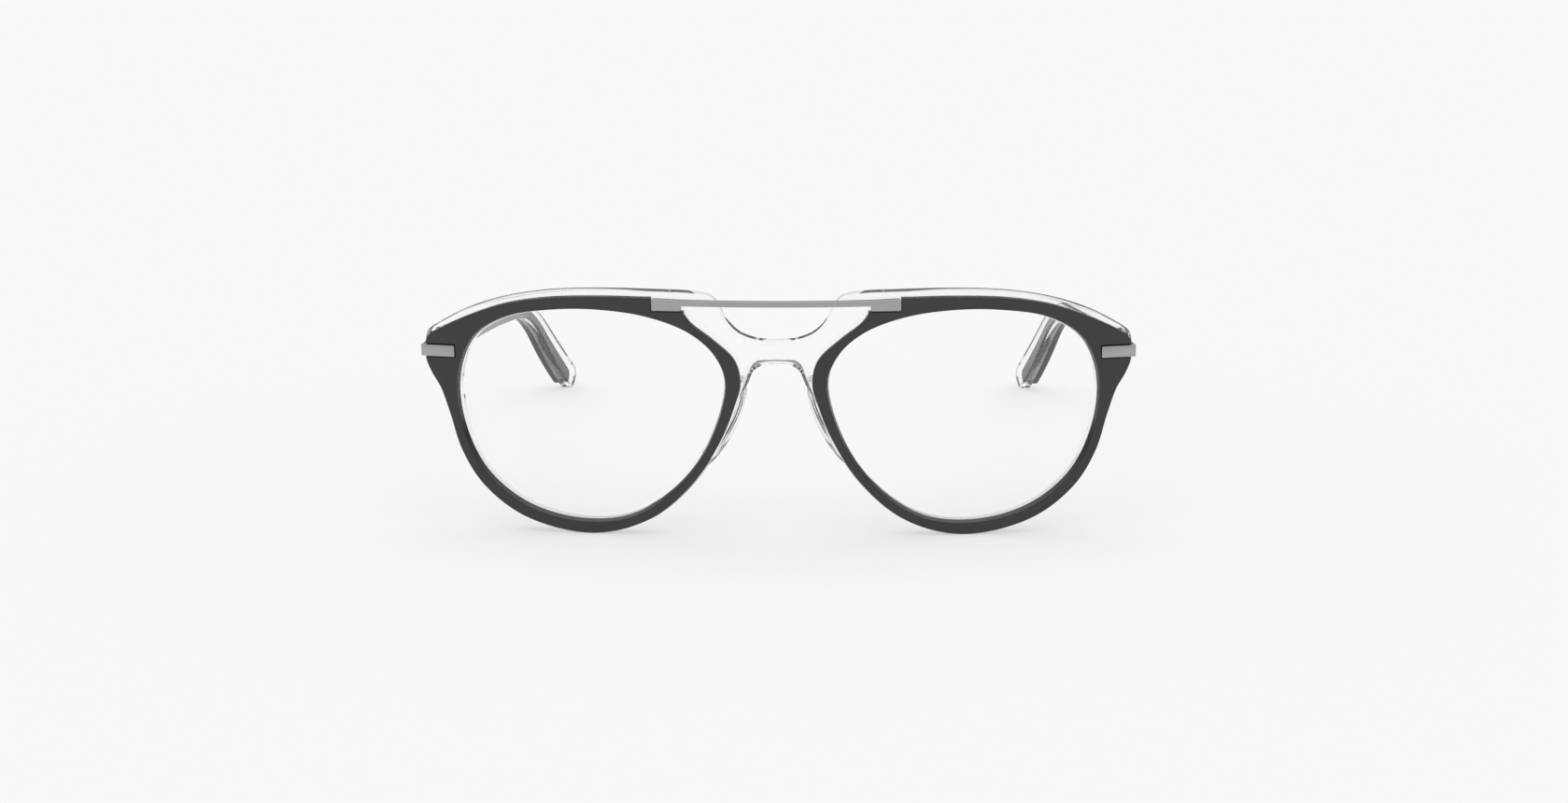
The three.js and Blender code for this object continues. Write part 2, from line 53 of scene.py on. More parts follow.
MM_PER_M = 1000.0
WRAP_RADIUS = 380.0
LEAN = math.radians(9.5)  # the rims' tops lean back, about this depth and the hinge's height
LEAN_Y = 8.0
VENEER = 1.5
CRYSTAL_FRONT = 1.4       # inside the veneer, as the two layers are fused
CRYSTAL_BACK = 4.2
WALL_BACK = 0.06          # the clear opening is this much wider than the dark one
LOOP_STEP = 0.9           # spacing of the points along a smooth edge

LENS_CENTRE = (36.3, 24.3)
LENS_DEPTH = 3.0
LENS_HALF = 1.0
LENS_DOME = 0.7
BEVEL_OUT = 0.7
GROOVE_OUT = 0.95
GROOVE_HALF = 1.1
GROOVE_BACK_HALF = 0.9
FIT = 0.15                # clearance between a piece and the recess it sits in

BAR_PROUD = 0.3
BAR_BACK = 1.2
TAB_IN = 18.4
TAB_OUT = 24.1
TAB_LOW = 45.75
TAB_HIGH = 48.05
BAR_LOW = 46.75
BAR_HIGH = 47.8
BAR_SAG = 0.15
TRIM_IN = 63.5
TRIM_LOW = 35.3
TRIM_HIGH = 37.6
TRIM_GROOVE = 0.25        # open groove above and below the trim
TRIM_BACK = 0.9
TRIM_SIDE = 69.9
TRIM_SHEET = 0.4

PAD_CENTRE = Vector((9.8, 5.0, 22.3))
PAD_HALF = Vector((2.1, 3.6, 9.6))
PAD_SLOPE = 0.43
PAD_TURN = 0.012
PAD_GLUE = 0.04

SEAT_BACK = 11.2          # flat back of the endpiece, as worn
SEAT_THICKNESS = 2.45
SEAT = [(62.35, 34.7), (68.95, 34.7), (68.95, 38.4), (68.0, 39.7), (61.2, 39.7), (61.4, 37.5)]

HINGE = Vector((63.8, 13.65, 37.5))

ARM_INNER = 65.4
ARM_SPLIT = 67.5
ARM_FUSED = 67.75         # the clear layer runs on inside the dark one
ARM_OUTER = 69.3
ARM_START = -2.15
BEND_START = 88.0
BEND_RADIUS = 47.0
BEND_ANGLE = math.radians(33.0)
PADDLE_LENGTH = 22.0
BOW_START = 20.0
BOW = 4.9e-4
CURL_START = 90.0
CURL = 1.75e-3
ARM_HALF_HINGE = 3.0      # half height at the hinge
ARM_SLIMMING = 1.05       # what the half height loses towards the middle
ARM_WIDENING = 1.15       # and what it gains again in the ear end
ARM_SLIM_BY = 70.0
CLEAR_MARGIN = 0.9        # clear edge above the dark layer
CLEAR_MARGIN_GAIN = 1.1   # its growth towards the ear end
CLEAR_BELOW = 0.3
CLEAR_TIP = 1.5
ARM_STEPS = 100
TIP_STEPS = 20
TIP_BULGE = 0.9
ARM_END = BEND_START + BEND_RADIUS * BEND_ANGLE + PADDLE_LENGTH

OPENING = [
    (10.2, 31.0), (12.2, 36.6), (17.0, 41.0), (25.0, 44.1), (34.5, 45.4), (44.0, 45.2),
    (53.1, 43.5), (59.5, 39.4), (62.8, 32.0), (62.4, 22.2), (58.2, 12.4), (50.2, 5.7),
    (39.5, 2.75), (28.9, 3.9), (19.9, 9.9), (13.8, 18.4),
]
VENEER_EDGE = [
    (21.0, 48.0), (27.0, 48.25), (34.7, 48.3), (45.0, 47.8), (53.5, 46.3), (60.5, 43.8),
    (66.0, 41.2), (68.6, 39.6), (69.4, 38.2), (69.45, 34.9), (68.4, 32.0), (66.7, 29.0),
    (65.0, 23.8), (62.8, 16.2), (58.6, 9.2), (50.3, 2.9), (36.8, 0.0), (25.5, 3.1),
    (16.4, 11.0), (10.6, 20.4), (8.1, 26.9), (7.0, 31.0), (8.0, 35.6), (12.5, 40.0),
    (16.8, 43.4), (18.9, 46.6),
]
CRYSTAL_HALF = [
    (0.0, 39.4), (4.2, 39.75), (7.6, 41.2), (9.7, 43.5), (10.9, 46.0), (12.8, 48.2),
    (16.5, 48.95), (25.0, 49.25), (34.7, 49.3), (45.0, 48.75), (53.5, 47.3), (61.0, 44.9),
    (66.5, 42.1), (69.2, 40.2), (69.75, 38.5), (69.75, 34.8), (68.75, 31.9), (67.0, 28.9),
    (65.3, 23.6), (63.1, 16.0), (58.9, 9.0), (50.4, 2.6), (36.8, -0.3), (25.3, 2.8),
    (16.1, 10.8), (10.3, 20.3), (7.8, 26.7), (6.4, 29.4), (5.4, 31.4), (4.7, 33.2),
    (3.3, 34.4), (1.5, 34.8), (0.0, 34.85),
]

# ---------------------------------------------------------------------- camera

CAMERA_TARGET = Vector((1.42, -68.49, 27.15))
CAMERA_DISTANCE = 500.0
CAMERA_AZIMUTH = math.radians(1.75)
CAMERA_ELEVATION = math.radians(12.5)
CAMERA_ROLL = math.radians(-0.27)
CAMERA_LENS = 58.58


def make_camera():
    data = bpy.data.cameras.new("camera")
    data.lens = CAMERA_LENS
    data.sensor_width = 36.0
    data.clip_start = 0.01
    data.clip_end = 20.0
    camera = bpy.data.objects.new("camera", data)
    bpy.context.scene.collection.objects.link(camera)
    az, el = CAMERA_AZIMUTH, CAMERA_ELEVATION
    forward = Vector((-math.sin(az) * math.cos(el), math.cos(az) * math.cos(el), -math.sin(el)))
    right = Vector((math.cos(az), math.sin(az), 0.0))
    up = right.cross(forward)
    turned_right = right * math.cos(CAMERA_ROLL) + up * math.sin(CAMERA_ROLL)
    turned_up = up * math.cos(CAMERA_ROLL) - right * math.sin(CAMERA_ROLL)
    place = Matrix((turned_right, turned_up, -forward)).transposed().to_4x4()
    place.translation = (CAMERA_TARGET - forward * CAMERA_DISTANCE) / MM_PER_M
    camera.matrix_world = place
    bpy.context.scene.camera = camera


make_camera()

# --------------------------------------------------- from the drawing to the table

left_joint = next(j for j in frame["joints"] if j["name"] == "left_arm_fold")
TIP = math.atan2(left_joint["axis"][1], left_joint["axis"][2])


def tipped(p):
    """A point turned back by the tip that lets the rims and the arm ends touch the table."""
    return Vector((
        p.x,
        p.y * math.cos(TIP) + p.z * math.sin(TIP),
        -p.y * math.sin(TIP) + p.z * math.cos(TIP),
    ))


SET_DOWN = Vector(left_joint["pos_m"]) * MM_PER_M - tipped(HINGE)


def on_table(p):
    """A point of the glasses as worn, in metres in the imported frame."""
    return (tipped(p) + SET_DOWN) / MM_PER_M


def worn(x, depth, z):
    """A point of the flat front, bent to the wrap and leant."""
    along = math.sqrt(1 - (x / WRAP_RADIUS) ** 2)
    back = WRAP_RADIUS * (1 - along) + depth * along - LEAN_Y
    height = z - HINGE.z
    return Vector((
        x * (1 - depth / WRAP_RADIUS),
        LEAN_Y + back * math.cos(LEAN) - height * math.sin(LEAN),
        HINGE.z + back * math.sin(LEAN) + height * math.cos(LEAN),
    ))


def front_point(x, depth, z):
    return on_table(worn(x, depth, z))


def arm_point(y, depth, z):
    """A point of an arm layer: y and z in its side outline, depth outwards from the middle."""
    run = max(y - BOW_START, 0.0)
    curl = max(y - CURL_START, 0.0)
    inwards = BOW * run * run + CURL * curl * curl
    return on_table(Vector((depth - inwards, HINGE.y + y, HINGE.z + z)))


# ------------------------------------------------------------------------ loops

def smoothstep(x, low, high):
    t = min(max((x - low) / (high - low), 0.0), 1.0)
    return t * t * (3 - 2 * t)


def catmull_rom(p0, p1, p2, p3, t):
    """Centripetal Catmull-Rom point between p1 and p2."""
    knots = [0.0]
    for a, b in ((p0, p1), (p1, p2), (p2, p3)):
        knots.append(knots[-1] + max((b - a).length, 1e-9) ** 0.5)
    s = knots[1] + (knots[2] - knots[1]) * t

    def mix(a, b, ka, kb):
        return a * ((kb - s) / (kb - ka)) + b * ((s - ka) / (kb - ka))

    a1 = mix(p0, p1, knots[0], knots[1])
    a2 = mix(p1, p2, knots[1], knots[2])
    a3 = mix(p2, p3, knots[2], knots[3])
    b1 = mix(a1, a2, knots[0], knots[2])
    b2 = mix(a2, a3, knots[1], knots[3])
    return mix(b1, b2, knots[1], knots[2])


def smooth_loop(anchors, spacing):
    """Closed smooth loop through the anchors, with points about one spacing apart."""
    points = [Vector(p) for p in anchors]
    n = len(points)
    loop = []
    for i in range(n):
        p0, p1, p2, p3 = (points[(i + k) % n] for k in (-1, 0, 1, 2))
        steps = max(2, round((p2 - p1).length / spacing))
        loop += [catmull_rom(p0, p1, p2, p3, k / steps) for k in range(steps)]
    return loop


def mirrored_anchors(half):
    """The whole loop's anchors from the half that starts and ends on X = 0."""
    return list(half) + [(-x, z) for x, z in reversed(half[1:-1])]


def area(loop):
    return 0.5 * sum(a.x * b.y - b.x * a.y for a, b in zip(loop, loop[1:] + loop[:1]))


def anticlockwise(loop):
    return list(loop) if area(loop) > 0 else list(reversed(loop))


def outward_normals(loop):
    """Mitred outward normals of an anticlockwise loop."""
    normals = []
    for i, p in enumerate(loop):
        before = (p - loop[i - 1]).normalized()
        after = (loop[(i + 1) % len(loop)] - p).normalized()
        n1 = Vector((before.y, -before.x))
        n2 = Vector((after.y, -after.x))
        middle = (n1 + n2).normalized()
        normals.append(middle / max(middle.dot(n1), 0.6))
    return normals


# ------------------------------------------------------------------- mesh pieces

def inside(points, loop):
    """Which of the points (n by 2) lie inside the loop, by crossings."""
    x, y = points[:, 0], points[:, 1]
    odd = np.zeros(len(points), bool)
    for i in range(len(loop)):
        (x1, y1), (x2, y2) = loop[i - 1], loop[i]
        if y1 == y2:
            continue
        crosses = (y1 > y) != (y2 > y)
        odd ^= crosses & (x < (x2 - x1) * (y - y1) / (y2 - y1) + x1)
    return odd


def cap(loops, grid):
    """Triangles that fill the first loop less the others, with inner points on a grid.

    Returns (extra points, triangles); a triangle's indices run over all loops' points
    in order, then over the extra points."""
    edge_points = np.array([tuple(p) for loop in loops for p in loop])
    low, high = edge_points.min(0), edge_points.max(0)
    xs = np.arange(low[0] + grid / 2, high[0], grid)
    ys = np.arange(low[1] + grid / 2, high[1], grid * 0.866)
    candidates = np.array([
        (x + (grid / 2 if row % 2 else 0), y) for row, y in enumerate(ys) for x in xs])
    keep = inside(candidates, [tuple(p) for p in loops[0]])
    for hole in loops[1:]:
        keep &= ~inside(candidates, [tuple(p) for p in hole])
    candidates = candidates[keep]
    if len(candidates):
        gaps = np.sqrt(((candidates[:, None, :] - edge_points[None, :, :]) ** 2).sum(2)).min(1)
        candidates = candidates[gaps > grid * 0.45]
    extra = [Vector(p) for p in candidates]
    edges, first = [], 0
    for loop in loops:
        n = len(loop)
        edges += [(first + i, first + (i + 1) % n) for i in range(n)]
        first += n
    every = [Vector(p) for loop in loops for p in loop] + extra
    verts, _, faces, origins, _, _ = geometry.delaunay_2d_cdt(every, edges, [], 0, 1e-7)
    back = [o[0] for o in origins]
    centres = np.array([
        tuple((verts[f[0]] + verts[f[1]] + verts[f[2]]) / 3) for f in faces])
    keep = inside(centres, [tuple(p) for p in loops[0]])
    for hole in loops[1:]:
        keep &= ~inside(centres, [tuple(p) for p in hole])
    triangles = [tuple(back[i] for i in f) for f, k in zip(faces, keep) if k]
    return extra, triangles


def round_profile(front, back, front_radius, back_radius, steps=3, support=0.12):
    """The rings down an edge, as (inset, depth) from front to back."""
    rings = []
    for step in range(steps + 1):
        turn = math.pi / 2 * step / steps
        rings.append((front_radius * (1 - math.sin(turn)),
                      front + front_radius * (1 - math.cos(turn))))
    for step in range(steps + 1):
        turn = math.pi / 2 * step / steps
        rings.append((back_radius * (1 - math.cos(turn)),
                      back - back_radius * (1 - math.sin(turn))))
    first = (front_radius + support, front)
    last = (back_radius + support, back)
    return [first, *rings, last]


def sheet_mesh(name, outer, holes, profile, place, grid=2.5, hole_profile=None):
    """A closed plate: loops in the plane, a rounded edge, and both faces filled.

    A profile is a list of rings, or a function that gives them for a point of the loop."""
    outer = anticlockwise(outer)
    holes = [list(reversed(anticlockwise(h))) for h in holes]
    mesh = bpy.data.meshes.new(name)
    bm = bmesh.new()
    caps = {"front": [], "back": []}
    for loop_index, loop in enumerate([outer, *holes]):
        chosen = profile if loop_index == 0 or hole_profile is None else hole_profile
        rings = [chosen(p) if callable(chosen) else chosen for p in loop]
        normals = outward_normals(loop)
        previous = None
        for k in range(len(rings[0])):
            insets = [ring[k][0] for ring in rings]
            depths = [ring[k][1] for ring in rings]
            flat = [p - n * inset for p, n, inset in zip(loop, normals, insets)]
            verts = [bm.verts.new(place(p.x, d, p.y)) for p, d in zip(flat, depths)]
            depth = depths[0]
            if previous:
                for i in range(len(verts)):
                    j = (i + 1) % len(verts)
                    bm.faces.new((previous[i], previous[j], verts[j], verts[i]))
            previous = verts
            if k == 0:
                caps["front"].append((flat, verts, depth))
            if k == len(rings[0]) - 1:
                caps["back"].append((flat, verts, depth))
    for side, entries in caps.items():
        depth = entries[0][2]
        extra, triangles = cap([flat for flat, _, _ in entries], grid)
        verts = [v for _, ring, _ in entries for v in ring]
        verts += [bm.verts.new(place(p.x, depth, p.y)) for p in extra]
        for triangle in triangles:
            order = triangle if side == "back" else triangle[::-1]
            bm.faces.new([verts[i] for i in order])
    bmesh.ops.recalc_face_normals(bm, faces=bm.faces)
    for face in bm.faces:
        face.smooth = True
    bm.to_mesh(mesh)
    bm.free()
    return mesh


def combined(mesh, tool_mesh, operation, name):
    """One mesh joined with another, or cut by it."""
    tool = bpy.data.objects.new("tool", tool_mesh)
    base = bpy.data.objects.new("base", mesh)
    for piece in (tool, base):
        bpy.context.scene.collection.objects.link(piece)
    step = base.modifiers.new("step", "BOOLEAN")
    step.operation, step.solver, step.object = operation, "EXACT", tool
    bpy.context.view_layer.update()
    result = bpy.data.meshes.new_from_object(
        base.evaluated_get(bpy.context.evaluated_depsgraph_get()))
    result.name = name
    bpy.data.objects.remove(base)
    bpy.data.objects.remove(tool)
    return result


def box_mesh(low, high):
    mesh = bpy.data.meshes.new("box")
    bm = bmesh.new()
    bmesh.ops.create_cube(bm, size=1.0)
    for v in bm.verts:
        v.co = Vector((lo + (hi - lo) * (c + 0.5) for lo, hi, c in zip(low, high, v.co)))
    bm.to_mesh(mesh)
    bm.free()
    return mesh


def mirror_mesh(mesh, name):
    copy = mesh.copy()
    copy.name = name
    copy.transform(Matrix.Scale(-1, 4, (1, 0, 0)))
    copy.flip_normals()
    return copy


def add_piece(name, mesh, body, slot, material, *nodes):
    piece = bpy.data.objects.new(name, mesh)
    bpy.context.scene.collection.objects.link(piece)
    mesh.materials.clear()
    mesh.materials.append(material)
    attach(piece, body)
    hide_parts(*nodes)
    return piece


def add_pair(name, mesh, bodies, slot, material, node):
    """The wearer's left piece as made and its mirror image on the right."""
    left_body, right_body = bodies
    add_piece(f"{name}_left", mesh, left_body, slot, material, f"{node}_left")
    other = mirror_mesh(mesh, f"{name}_right")
    add_piece(f"{name}_right", other, right_body, slot, material, f"{node}_right")


FRONT = ("front", "front")
ARMS = ("left_arm", "right_arm")

# --------------------------------------------------------------------- materials


def new_material(name):
    material = bpy.data.materials.new(name)
    material.use_nodes = True
    nodes, links = material.node_tree.nodes, material.node_tree.links
    shader = nodes["Principled BSDF"]
    return material, nodes, links, shader


def noise_node(nodes, links, scale, detail=3.0, stretch=(1, 1, 1)):
    place = nodes.new("ShaderNodeTexCoord")
    mapping = nodes.new("ShaderNodeMapping")
    mapping.inputs["Scale"].default_value = stretch
    texture = nodes.new("ShaderNodeTexNoise")
    texture.inputs["Scale"].default_value = scale
    texture.inputs["Detail"].default_value = detail
    links.new(place.outputs["Object"], mapping.inputs["Vector"])
    links.new(mapping.outputs["Vector"], texture.inputs["Vector"])
    return texture


def spread(nodes, links, source, low, high):
    """The noise's middle range stretched from low to high."""
    span = nodes.new("ShaderNodeMapRange")
    span.inputs["From Min"].default_value = 0.3
    span.inputs["From Max"].default_value = 0.7
    span.inputs["To Min"].default_value = low
    span.inputs["To Max"].default_value = high
    links.new(source.outputs["Fac"], span.inputs["Value"])
    return span


def tint(nodes, links, source, low, high):
    ramp = nodes.new("ShaderNodeValToRGB")
    ramp.color_ramp.elements[0].position = 0.3
    ramp.color_ramp.elements[1].position = 0.7
    ramp.color_ramp.elements[0].color = (*low, 1)
    ramp.color_ramp.elements[1].color = (*high, 1)
    links.new(source.outputs["Fac"], ramp.inputs["Fac"])
    return ramp


def bumped(nodes, links, shader, source, strength, distance):
    bump = nodes.new("ShaderNodeBump")
    bump.inputs["Strength"].default_value = strength
    bump.inputs["Distance"].default_value = distance
    links.new(source.outputs["Fac"], bump.inputs["Height"])
    links.new(bump.outputs["Normal"], shader.inputs["Normal"])


def clear_acetate():
    """Polished clear acetate: faint waviness of the buffed surface, fine wipe marks."""
    material, nodes, links, shader = new_material("clear_acetate")
    shader.inputs["Transmission Weight"].default_value = 1.0
    shader.inputs["IOR"].default_value = 1.48
    waves = noise_node(nodes, links, 90.0, 1.0)
    marks = noise_node(nodes, links, 900.0, 4.0)
    colour = tint(nodes, links, waves, (0.975, 0.985, 0.985), (0.995, 0.997, 1.0))
    links.new(colour.outputs["Color"], shader.inputs["Base Color"])
    rough = spread(nodes, links, marks, 0.0, 0.02)
    links.new(rough.outputs["Result"], shader.inputs["Roughness"])
    bumped(nodes, links, shader, waves, 0.06, 0.00004)
    return material


def lens_clear():
    """Clear lens, coated against reflections, with the odd trace of a wiping cloth."""
    material, nodes, links, shader = new_material("clear_lens")
    shader.inputs["Transmission Weight"].default_value = 1.0
    shader.inputs["IOR"].default_value = 1.18
    wipe = noise_node(nodes, links, 40.0, 2.0, (1.0, 1.0, 0.35))
    colour = tint(nodes, links, wipe, (0.99, 0.993, 0.993), (0.998, 0.999, 1.0))
    links.new(colour.outputs["Color"], shader.inputs["Base Color"])
    rough = spread(nodes, links, wipe, 0.0, 0.01)
    links.new(rough.outputs["Result"], shader.inputs["Roughness"])
    return material


def dark_acetate(name, low, high):
    """Near-black acetate: cloudy pigment under a buffed gloss with hairline scuffs."""
    material, nodes, links, shader = new_material(name)
    clouds = noise_node(nodes, links, 120.0, 4.0)
    scuffs = noise_node(nodes, links, 2500.0, 5.0)
    colour = tint(nodes, links, clouds, low, high)
    links.new(colour.outputs["Color"], shader.inputs["Base Color"])
    rough = spread(nodes, links, scuffs, 0.16, 0.26)
    links.new(rough.outputs["Result"], shader.inputs["Roughness"])
    bumped(nodes, links, shader, clouds, 0.05, 0.00002)
    shader.inputs["IOR"].default_value = 1.48
    return material


def brushed_metal(name, low, high, rough_low, rough_high, stretch):
    """Metal with fine brushing along one way and slight tone changes."""
    material, nodes, links, shader = new_material(name)
    shader.inputs["Metallic"].default_value = 1.0
    brushing = noise_node(nodes, links, 700.0, 5.0, stretch)
    tone = noise_node(nodes, links, 60.0, 2.0)
    colour = tint(nodes, links, tone, low, high)
    links.new(colour.outputs["Color"], shader.inputs["Base Color"])
    rough = spread(nodes, links, brushing, rough_low, rough_high)
    links.new(rough.outputs["Result"], shader.inputs["Roughness"])
    bumped(nodes, links, shader, brushing, 0.3, 0.00002)
    return material


CLEAR = clear_acetate()
LENS = lens_clear()
DARK = dark_acetate("dark_acetate_face", (0.0235, 0.0225, 0.0285), (0.0285, 0.0275, 0.034))
# The arms use the same near-black acetate, painted lighter: the extra lightness is painted sheen
# and top light on the arms, not a different pigment.
DARK_ARM_PAINTED_SHEEN = dark_acetate("dark_acetate_arm_painted_sheen", (0.036, 0.0355, 0.040), (0.048, 0.047, 0.052))
SATIN = brushed_metal("satin_metal", (0.385, 0.385, 0.40), (0.425, 0.425, 0.44), 0.3, 0.42,
                      (0.06, 1.0, 1.0))
STEEL = brushed_metal("hinge_steel", (0.5, 0.5, 0.51), (0.6, 0.6, 0.61), 0.22, 0.4,
                      (1.0, 1.0, 0.15))

# ------------------------------------------------------------------------- front

opening_loop = smooth_loop(OPENING, LOOP_STEP)


def shifted(loop, distance):
    """The loop moved outwards by a distance."""
    turned = anticlockwise(loop)
    return [p + n * distance for p, n in zip(turned, outward_normals(turned))]


def groove_profile():
    """Edge of a clear opening: small rounds front and back and the lens groove between."""
    edge = round_profile(CRYSTAL_FRONT, CRYSTAL_BACK, 0.1, 0.25)
    half = len(edge) // 2
    groove = [
        (0.0, LENS_DEPTH - GROOVE_HALF),
        (GROOVE_OUT, LENS_DEPTH),
        (0.0, LENS_DEPTH + GROOVE_BACK_HALF),
    ]
    return edge[:half] + groove + edge[half:]


def front_crystal():
    """Clear layer of both rims and the bridge, soft-edged where it stands clear."""
    outer = smooth_loop(mirrored_anchors(CRYSTAL_HALF), LOOP_STEP)
    opening = shifted(opening_loop, WALL_BACK)
    other = [Vector((-p.x, p.y)) for p in opening]

    def profile(p):
        front_radius, back_radius = 0.2, 0.3
        if p.y > 38.0:
            front_radius += 0.6 * (1 - smoothstep(abs(p.x), 9.0, 14.0))
        elif p.y > 20.0:
            shoulder = smoothstep(abs(p.x), 1.5, 4.0) * (1 - smoothstep(abs(p.x), 5.5, 8.0))
            back_radius += 0.5 * (1 - smoothstep(abs(p.x), 4.0, 7.5)) + 0.9 * shoulder
        return round_profile(CRYSTAL_FRONT, CRYSTAL_BACK, front_radius, back_radius, steps=5)

    mesh = sheet_mesh("front_crystal", outer, [opening, other], profile, front_point,
                      hole_profile=groove_profile())
    seat = sheet_mesh(
        "endpiece_seat", [Vector(p) for p in SEAT], [],
        round_profile(SEAT_BACK - SEAT_THICKNESS, SEAT_BACK, 0.1, 0.35),
        lambda x, depth, z: on_table(Vector((x, depth, z))))
    for side in (seat, mirror_mesh(seat, "other_seat")):
        mesh = combined(mesh, side, "UNION", "front_crystal")
    mesh.shade_smooth()
    mesh.set_sharp_from_angle(angle=math.radians(48))
    add_piece("front_crystal", mesh, "front", "clear_acetate", CLEAR, "front_crystal")


def notched(loop):
    """The dark face's edge with the bar's tab let into its top corner."""
    loop = anticlockwise(loop)
    wall, floor = TAB_OUT + FIT, TAB_LOW - FIT
    cut = [p.x < wall and p.y > floor for p in loop]
    start = next(i for i in range(len(loop)) if cut[i] and not cut[i - 1])
    turned = loop[start:] + loop[:start]
    count = next(i for i in range(len(turned)) if not (
        turned[i].x < wall and turned[i].y > floor))
    kept = turned[count:]
    return kept + [Vector((wall, turned[-1].y)), Vector((wall, floor)),
                   Vector((kept[0].x, floor))]


def rim_veneer():
    """Near-black face of one rim, its opening eased and a little wider in front."""
    outer = notched(smooth_loop(VENEER_EDGE, LOOP_STEP))
    profile = round_profile(0.0, VENEER, 0.22, 0.03)
    wall = [
        (0.56, 0.0), (0.5, 0.0), (0.4, 0.02), (0.32, 0.09), (0.27, 0.2), (0.26, 0.24),
        (0.0, VENEER - 0.02), (0.02, VENEER), (0.1, VENEER),
    ]
    flat = sheet_mesh("rim_veneer_flat", outer, [opening_loop], profile,
                      lambda x, depth, z: Vector((x, depth, z)), hole_profile=wall)
    low = (TRIM_IN - FIT, -1.0, TRIM_LOW - TRIM_GROOVE)
    high = (TRIM_SIDE + 2.0, TRIM_BACK + FIT, TRIM_HIGH + TRIM_GROOVE)
    mesh = combined(flat, box_mesh(low, high), "DIFFERENCE", "rim_veneer_left")
    for vertex in mesh.vertices:
        vertex.co = front_point(*vertex.co)
    mesh.shade_smooth()
    mesh.set_sharp_from_angle(angle=math.radians(40))
    add_pair("rim_veneer", mesh, FRONT, "dark_acetate", DARK, "rim_veneer")


def lens():
    """Lens with a gentle dome and the bevel that sits in the groove."""
    loop = anticlockwise(opening_loop)
    normals = outward_normals(loop)
    steps = 14

    def face(side):
        rings = []
        for k in range(steps + 1):
            out = k / steps
            depth = LENS_DEPTH - LENS_DOME * (1 - out * out) + side * LENS_HALF
            rings.append((out, -FIT, depth))
        return rings

    rings = face(-1) + [(1.0, BEVEL_OUT, LENS_DEPTH)] + list(reversed(face(1)))
    bm = bmesh.new()
    centre = Vector(LENS_CENTRE)
    previous = None
    for out, offset, depth in rings:
        if out == 0:
            ring = [bm.verts.new(front_point(centre.x, depth, centre.y))]
        else:
            flat = [centre.lerp(p + n * offset, out) for p, n in zip(loop, normals)]
            ring = [bm.verts.new(front_point(p.x, depth, p.y)) for p in flat]
        if previous:
            count = len(loop)
            for i in range(count):
                j = (i + 1) % count
                if len(previous) == 1:
                    bm.faces.new((previous[0], ring[i], ring[j]))
                elif len(ring) == 1:
                    bm.faces.new((previous[i], ring[0], previous[j]))
                else:
                    bm.faces.new((previous[i], ring[i], ring[j], previous[j]))
        previous = ring
    bmesh.ops.recalc_face_normals(bm, faces=bm.faces)
    for f in bm.faces:
        f.smooth = True
    for e in bm.edges:
        if len(e.link_faces) == 2 and e.calc_face_angle(0.0) > math.radians(25):
            e.smooth = False
    mesh = bpy.data.meshes.new("lens_left")
    bm.to_mesh(mesh)
    bm.free()
    add_pair("lens", mesh, FRONT, "clear_lens", LENS, "lens")


def arc_corner(corner, before, after, radius, steps=4):
    """A corner of an outline, rounded: points from one side to the other."""
    a = (Vector(before) - Vector(corner)).normalized()
    b = (Vector(after) - Vector(corner)).normalized()
    start, end = Vector(corner) + a * radius, Vector(corner) + b * radius
    middle = Vector(corner)
    return [
        start * (1 - t) ** 2 + middle * 2 * t * (1 - t) + end * t * t
        for t in (k / steps for k in range(steps + 1))]


def brow_bar():
    """Bar between two tabs: one outline, its thin stretch hanging a little."""
    def sag(x):
        return BAR_SAG * (1 - (x / TAB_IN) ** 2)

    corner = 0.3
    right_side = []
    right_side += arc_corner((TAB_IN, TAB_LOW), (TAB_IN, BAR_LOW), (TAB_OUT, TAB_LOW), corner)
    right_side += arc_corner((TAB_OUT, TAB_LOW), (TAB_IN, TAB_LOW), (TAB_OUT, TAB_HIGH), corner)
    right_side += arc_corner((TAB_OUT, TAB_HIGH), (TAB_OUT, TAB_LOW), (TAB_IN, BAR_HIGH), corner)
    thin = [TAB_IN * (1 - k / 22) for k in range(1, 22)]
    top = [Vector((x, BAR_HIGH - sag(x))) for x in thin]
    bottom = [Vector((x, BAR_LOW - sag(x))) for x in reversed(thin)]
    half = [Vector((0, BAR_LOW - BAR_SAG)), *bottom, Vector((TAB_IN, BAR_LOW)), *right_side,
            Vector((TAB_IN, BAR_HIGH)), *top, Vector((0, BAR_HIGH - BAR_SAG))]
    other = [Vector((-p.x, p.y)) for p in reversed(half[1:-1])]
    profile = round_profile(-BAR_PROUD, BAR_BACK, 0.16, 0.1, support=0.06)
    mesh = sheet_mesh("brow_bar", half + other, [], profile, front_point, grid=0.7)
    add_piece("brow_bar", mesh, "front", "satin_metal", SATIN, "brow_bar")


def endpiece_trim():
    """Sheet of metal let into the face and folded round the side, its edges eased."""
    outer = TRIM_SIDE + TRIM_SHEET
    fold = 0.5
    outline = [
        Vector((TRIM_IN, -BAR_PROUD)),
        *arc_corner((outer, -BAR_PROUD), (TRIM_IN, -BAR_PROUD), (outer, CRYSTAL_BACK), fold),
        Vector((outer, CRYSTAL_BACK)), Vector((TRIM_SIDE, CRYSTAL_BACK)),
        Vector((TRIM_SIDE, TRIM_BACK)), Vector((TRIM_IN, TRIM_BACK)),
    ]
    profile = round_profile(TRIM_LOW, TRIM_HIGH, 0.12, 0.12, support=0.05)
    mesh = sheet_mesh("endpiece_trim_left", outline, [], profile,
                      lambda x, z, depth: front_point(x, depth, z), grid=1.0)
    mesh.set_sharp_from_angle(angle=math.radians(35))
    add_pair("endpiece_trim", mesh, FRONT, "satin_metal", SATIN, "endpiece_trim")


